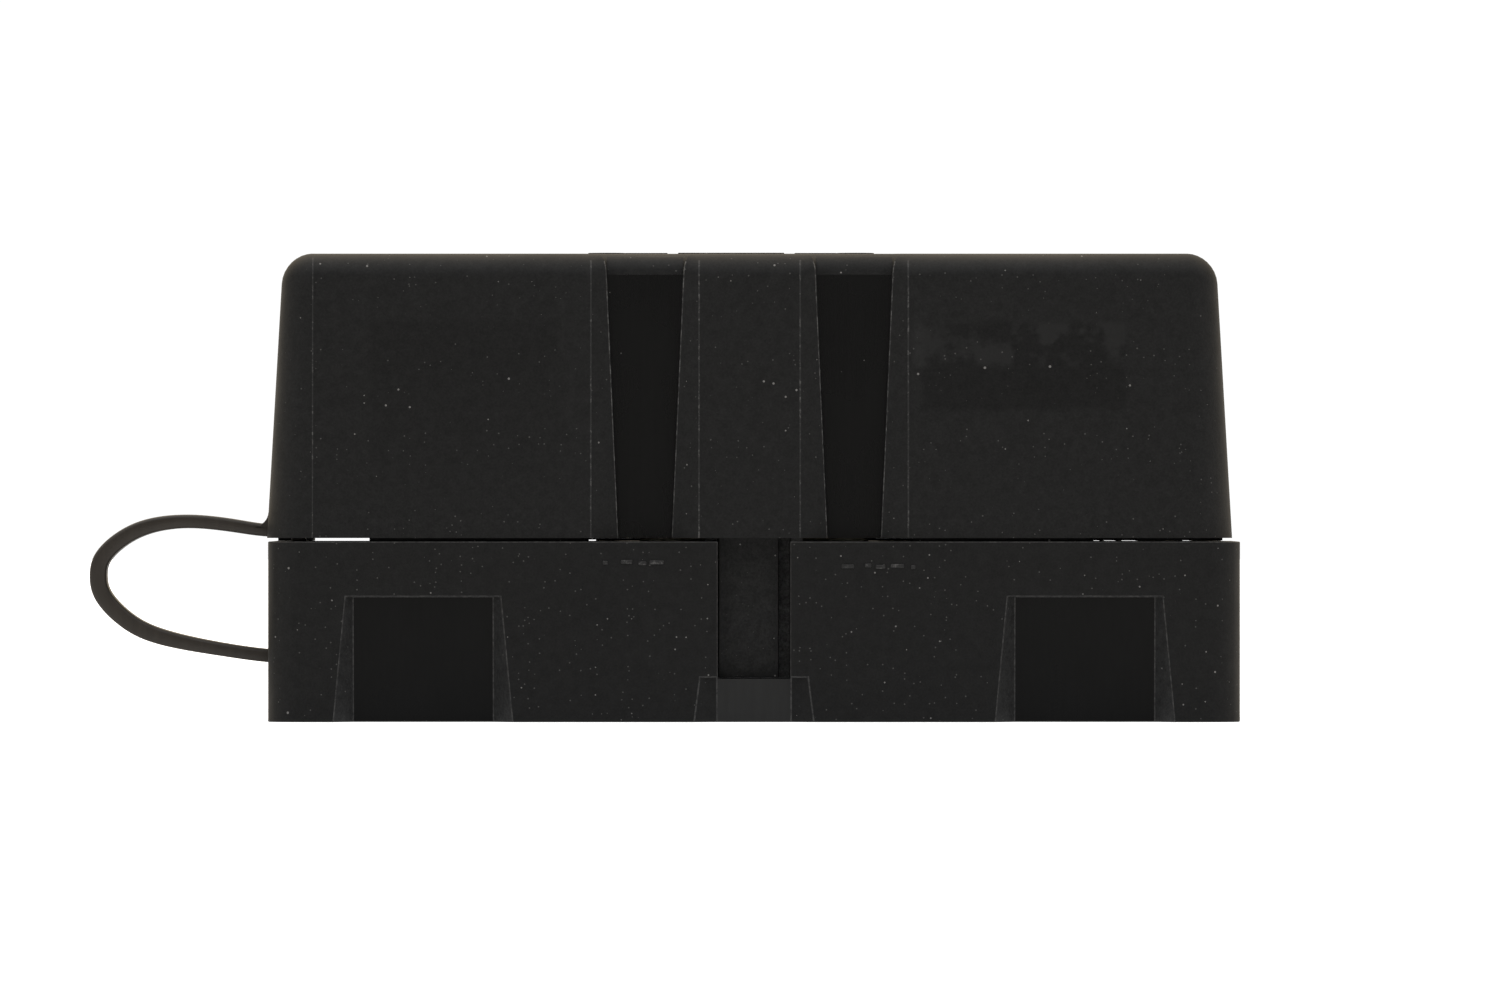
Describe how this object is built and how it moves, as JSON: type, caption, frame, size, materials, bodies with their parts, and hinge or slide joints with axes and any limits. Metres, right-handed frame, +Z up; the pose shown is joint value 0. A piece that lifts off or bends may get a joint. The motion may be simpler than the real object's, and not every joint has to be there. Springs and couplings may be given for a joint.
{
  "type": "fuse holder",
  "caption": "Covered bolt-down fuse holder: a moulded base with a fuse link clamped on studs, under a latched cover that a strap loop ties to the base.",
  "frame": {"origin": "middle of the base's underside", "axes": "+X along the length away from the strap loop, +Z up towards the cover, so the front is -Y"},
  "size_m": [0.13, 0.046, 0.053],
  "materials": {
    "base_nylon": "black spark-eroded nylon, smooth in the pockets",
    "cover_nylon": "black spark-eroded nylon, smooth in the channels",
    "strap_nylon": "warm black flexible nylon, satin",
    "fibre_board": "matt black insulating board",
    "zinc_steel": "bright zinc plate",
    "tinned_brass": "dull tinned brass",
    "link_metal": "bare stamped zinc alloy",
    "fuse_plastic": "stone-coloured moulded insulator",
    "clear_window": "clear polycarbonate"
  },
  "bodies": {
    "base": {"base_shell": "base_nylon", "bottom_plate": "fibre_board", "tether_strap": "strap_nylon", "plate_screw_1": "zinc_steel", "plate_screw_2": "zinc_steel", "plate_screw_3": "zinc_steel", "plate_screw_4": "zinc_steel", "stud_left": "zinc_steel", "flat_washer_left": "zinc_steel", "spring_washer_left": "zinc_steel", "nut_left": "zinc_steel", "stud_right": "zinc_steel", "flat_washer_right": "zinc_steel", "spring_washer_right": "zinc_steel", "nut_right": "zinc_steel", "terminal_plate_left": "tinned_brass", "terminal_plate_right": "tinned_brass", "fuse_link": "link_metal", "fuse_body_lower": "fuse_plastic", "fuse_body_upper": "fuse_plastic", "fuse_window": "clear_window", "fuse_rivet_1": "zinc_steel", "fuse_rivet_2": "zinc_steel", "fuse_rivet_3": "zinc_steel", "fuse_rivet_4": "zinc_steel", "mount_bush_left": "zinc_steel", "mount_bush_right": "zinc_steel"},
    "cover": {"cover_shell": "cover_nylon"},
    "latch_front": {"latch_tongue_front": "cover_nylon"},
    "latch_rear": {"latch_tongue_rear": "cover_nylon"}
  },
  "joints": [
    {"name": "cover_swing", "type": "hinge", "parent": "base", "child": "cover", "pos_m": [-0.0739, 0, 0.013], "axis": [0, -1, 0], "range_deg": [0, 130], "deforming": ["tether_strap", "latch_tongue_front", "latch_tongue_rear"]},
    {"name": "latch_front_press", "type": "hinge", "parent": "cover", "child": "latch_front", "pos_m": [-0.0005, -0.0182, 0.025], "axis": [1, 0, 0], "range_deg": [0, 4], "stiffness_Nm_per_rad": 2, "deforming": ["latch_tongue_front"]},
    {"name": "latch_rear_press", "type": "hinge", "parent": "cover", "child": "latch_rear", "pos_m": [-0.0005, 0.0182, 0.025], "axis": [-1, 0, 0], "range_deg": [0, 4], "stiffness_Nm_per_rad": 2, "deforming": ["latch_tongue_rear"]}
  ]
}
